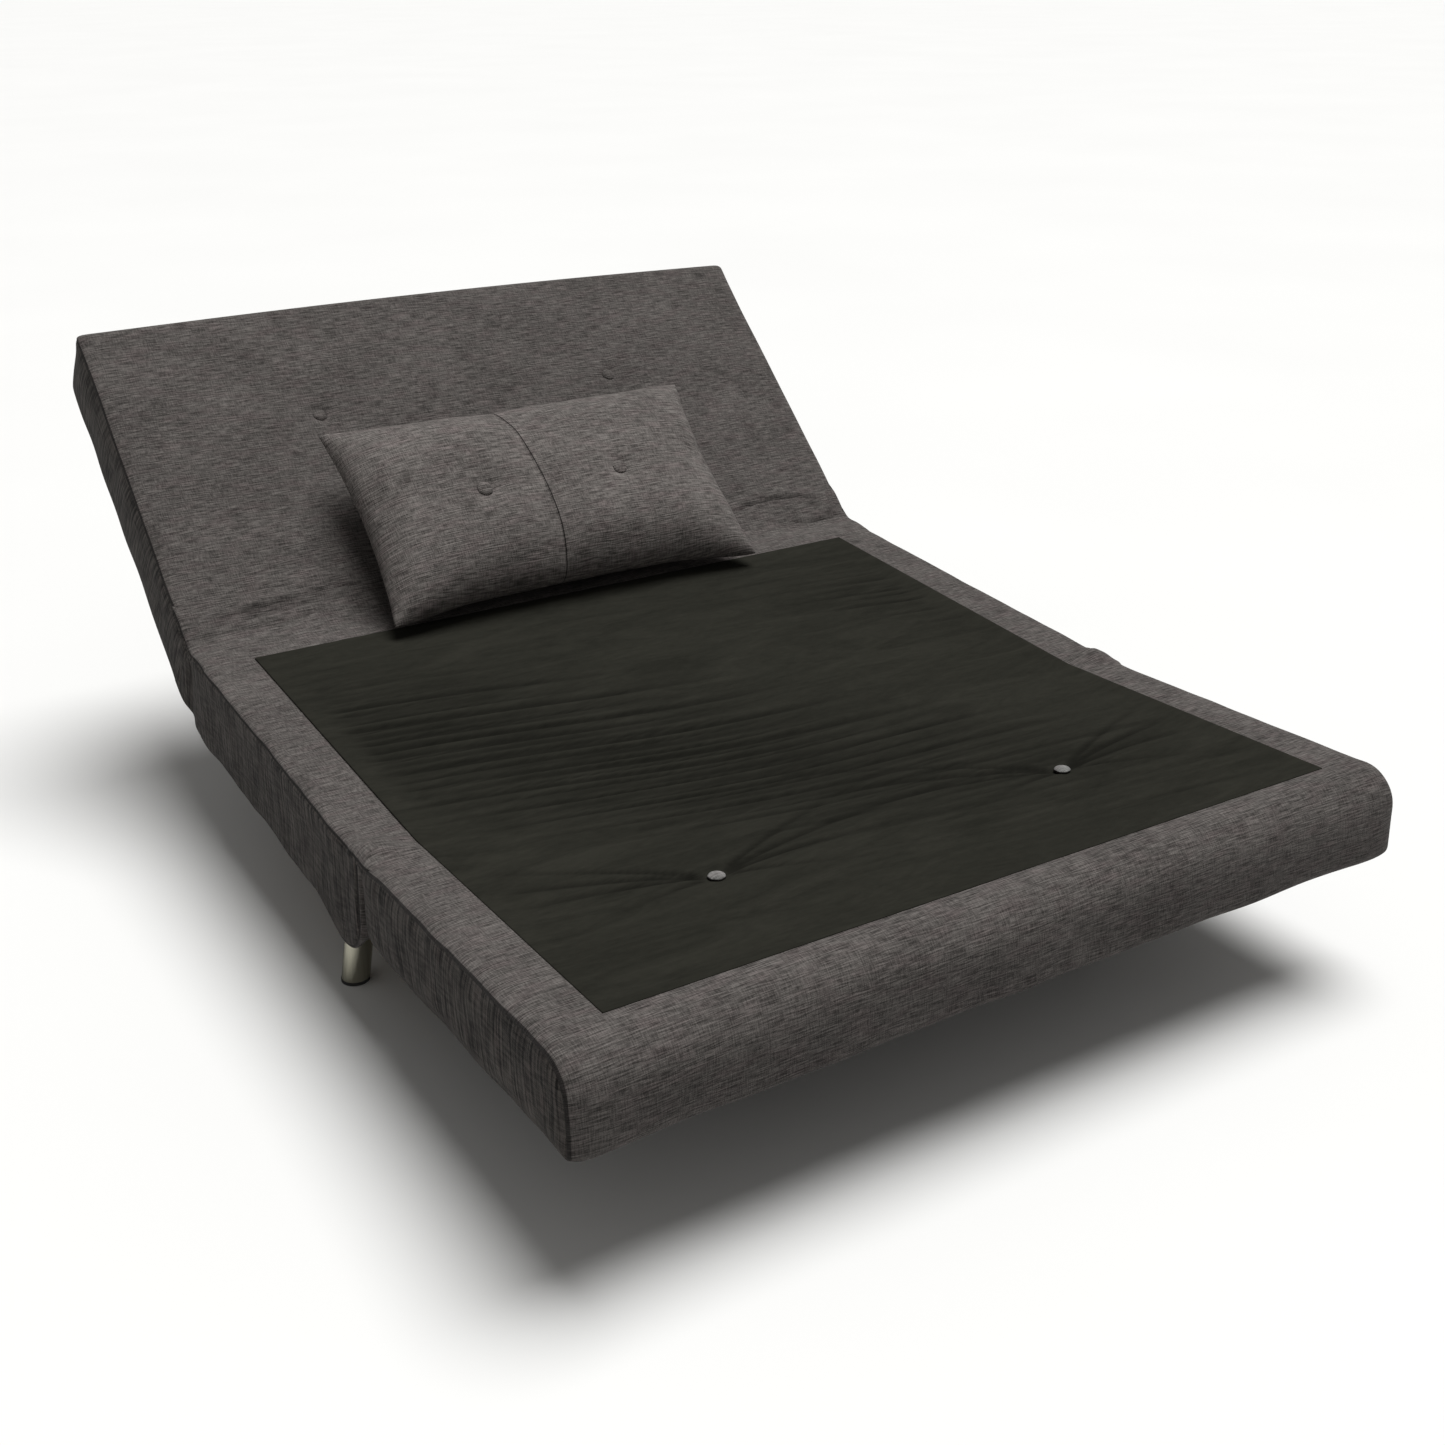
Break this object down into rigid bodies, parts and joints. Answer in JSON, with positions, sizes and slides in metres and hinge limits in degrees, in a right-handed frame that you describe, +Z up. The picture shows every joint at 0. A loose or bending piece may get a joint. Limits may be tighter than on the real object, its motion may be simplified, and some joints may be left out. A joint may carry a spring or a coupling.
{
  "type": "futon sofa bed",
  "caption": "Upholstered tri-fold sofa bed: a fold-over front section, a ratchet reclining back, a pull-out support stand and a loose pillow on chromed legs.",
  "frame": {"origin": "on the floor, under the middle of the object's outline as a bed with its back raised", "axes": "+Y from the front section towards the backrest, +Z up, +X to the right seen from the front section"},
  "size_m": [1.2, 1.7296, 0.6998],
  "materials": {
    "grey_fabric": "heathered linen-look weave",
    "black_lining": "plain matt non-woven lining",
    "light_grey_button": "light grey cloth-covered buttons",
    "foam": "open-cell polyurethane foam",
    "webbing": "woven elastic webbing",
    "beech": "lacquered beech plywood",
    "chrome": "polished",
    "black_steel": "black powder coat",
    "zinc_steel": "zinc plated",
    "black_plastic": "moulded",
    "black_rubber": "matt"
  },
  "bodies": {
    "backrest": {"backrest_buttons": "grey_fabric", "backrest_cover": "grey_fabric", "backrest_cross_tubes": "black_steel", "backrest_foam": "foam", "backrest_hinge_bolts": "zinc_steel", "backrest_side_rail_left": "black_steel", "backrest_side_rail_right": "black_steel", "backrest_webbing": "webbing", "recline_arm_left": "zinc_steel", "recline_arm_right": "zinc_steel", "recline_pawls": "zinc_steel"},
    "front_section": {"fold_hinge_front_leaf_left": "zinc_steel", "fold_hinge_front_leaf_right": "zinc_steel", "front_cover": "grey_fabric", "front_cross_tubes": "black_steel", "front_hinge_bolts": "zinc_steel", "front_lining": "black_lining", "front_seat_buttons": "grey_fabric", "front_seat_foam": "foam", "front_side_rail_left": "black_steel", "front_side_rail_right": "black_steel", "front_slats": "beech", "front_top_foam": "foam", "lining_buttons": "light_grey_button"},
    "seat": {"fold_hinge_pins": "zinc_steel", "fold_hinge_seat_leaf_left": "zinc_steel", "fold_hinge_seat_leaf_right": "zinc_steel", "front_leg_left": "chrome", "front_leg_right": "chrome", "guide_brackets": "black_steel", "guide_tube_left": "black_steel", "guide_tube_right": "black_steel", "leg_bolts": "zinc_steel", "leg_glides": "black_plastic", "rear_leg_left": "chrome", "rear_leg_right": "chrome", "recline_bracket_left": "zinc_steel", "recline_bracket_right": "zinc_steel", "recline_pins": "zinc_steel", "seat_cover": "grey_fabric", "seat_cross_tubes": "black_steel", "seat_foam": "foam", "seat_hinge_bolts": "zinc_steel", "seat_lining": "black_lining", "seat_side_rail_left": "black_steel", "seat_side_rail_right": "black_steel", "seat_slats": "beech"},
    "pillow": {"pillow_buttons": "grey_fabric", "pillow_cover": "grey_fabric", "pillow_filling": "foam"},
    "stand": {"stand_cross_tube": "black_steel", "stand_glides": "black_plastic", "stand_leg_left": "black_steel", "stand_leg_right": "black_steel", "stand_rubber_pads": "black_rubber", "stand_tube_left": "black_steel", "stand_tube_right": "black_steel"}
  },
  "joints": [
    {"name": "front_fold", "type": "hinge", "parent": "seat", "child": "front_section", "pos_m": [0, -0.31658, 0.28], "axis": [-1, 0, 0], "range_deg": [0, 174.3]},
    {"name": "backrest_recline", "type": "hinge", "parent": "seat", "child": "backrest", "pos_m": [0, 0.35104, 0.30697], "axis": [1, 0, 0], "range_deg": [-38.4, 29]},
    {"name": "stand_slide", "type": "slide", "parent": "seat", "child": "stand", "axis": [0, 1, 0], "range_m": [0, 0.32]},
    {"name": "pillow_slide", "type": "slide", "parent": "backrest", "child": "pillow", "axis": [0, 0.7431, 0.6691], "range_m": [-0.0583, 0.0441]}
  ],
  "couplings": [
    {"joint": "pillow_slide", "follows": "backrest_recline", "m_per_rad": 0.0868}
  ]
}
